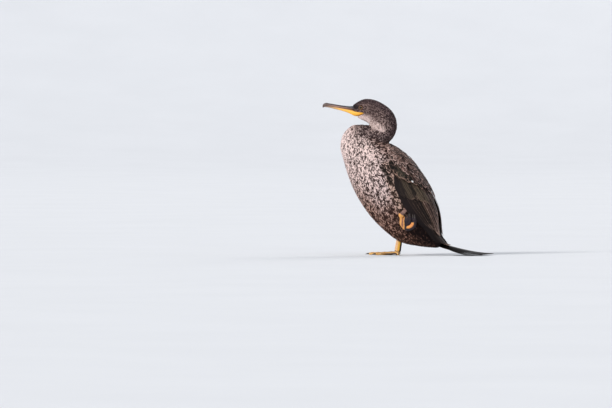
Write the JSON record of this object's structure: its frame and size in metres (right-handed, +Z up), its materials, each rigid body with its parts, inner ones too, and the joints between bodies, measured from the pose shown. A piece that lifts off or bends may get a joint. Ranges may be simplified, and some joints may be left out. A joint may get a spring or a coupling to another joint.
{
  "type": "mediterranean shag",
  "caption": "Still life-size model of a young Mediterranean shag, a small cormorant, standing on one leg with the other foot drawn up and its tail on the floor.",
  "frame": {"origin": "on the floor, at the middle of the standing foot's pad", "axes": "+Z up; the bird faces -X; its left side is towards -Y"},
  "size_m": [0.3767, 0.1253, 0.3359],
  "materials": {
    "plumage": "matt feathers, whitish breast to brown back",
    "wing": "matt brown flight feathers with pale fringes",
    "tail": "matt near black feathers",
    "bill_upper": "satin horn, bluish dark ridge",
    "bill_lower": "satin yellow orange horn and gape skin",
    "eye": "glossy dark green eye",
    "foot": "scaly yellow pink skin with dark webs",
    "claw": "satin dark horn"
  },
  "bodies": {
    "root": {"torso": "plumage", "neck": "plumage", "head": "plumage", "bill_upper": "bill_upper", "bill_lower": "bill_lower", "eye_left": "eye", "eye_right": "eye", "wing_left": "wing", "wing_right": "wing", "tail": "tail", "foot_left": "foot", "foot_right": "foot", "leg_left": "foot", "leg_right": "foot", "foot_left_claw_1": "claw", "foot_left_claw_2": "claw", "foot_left_claw_3": "claw", "foot_left_claw_4": "claw", "foot_right_claw_1": "claw", "foot_right_claw_2": "claw", "foot_right_claw_3": "claw", "foot_right_claw_4": "claw"}
  },
  "joints": []
}
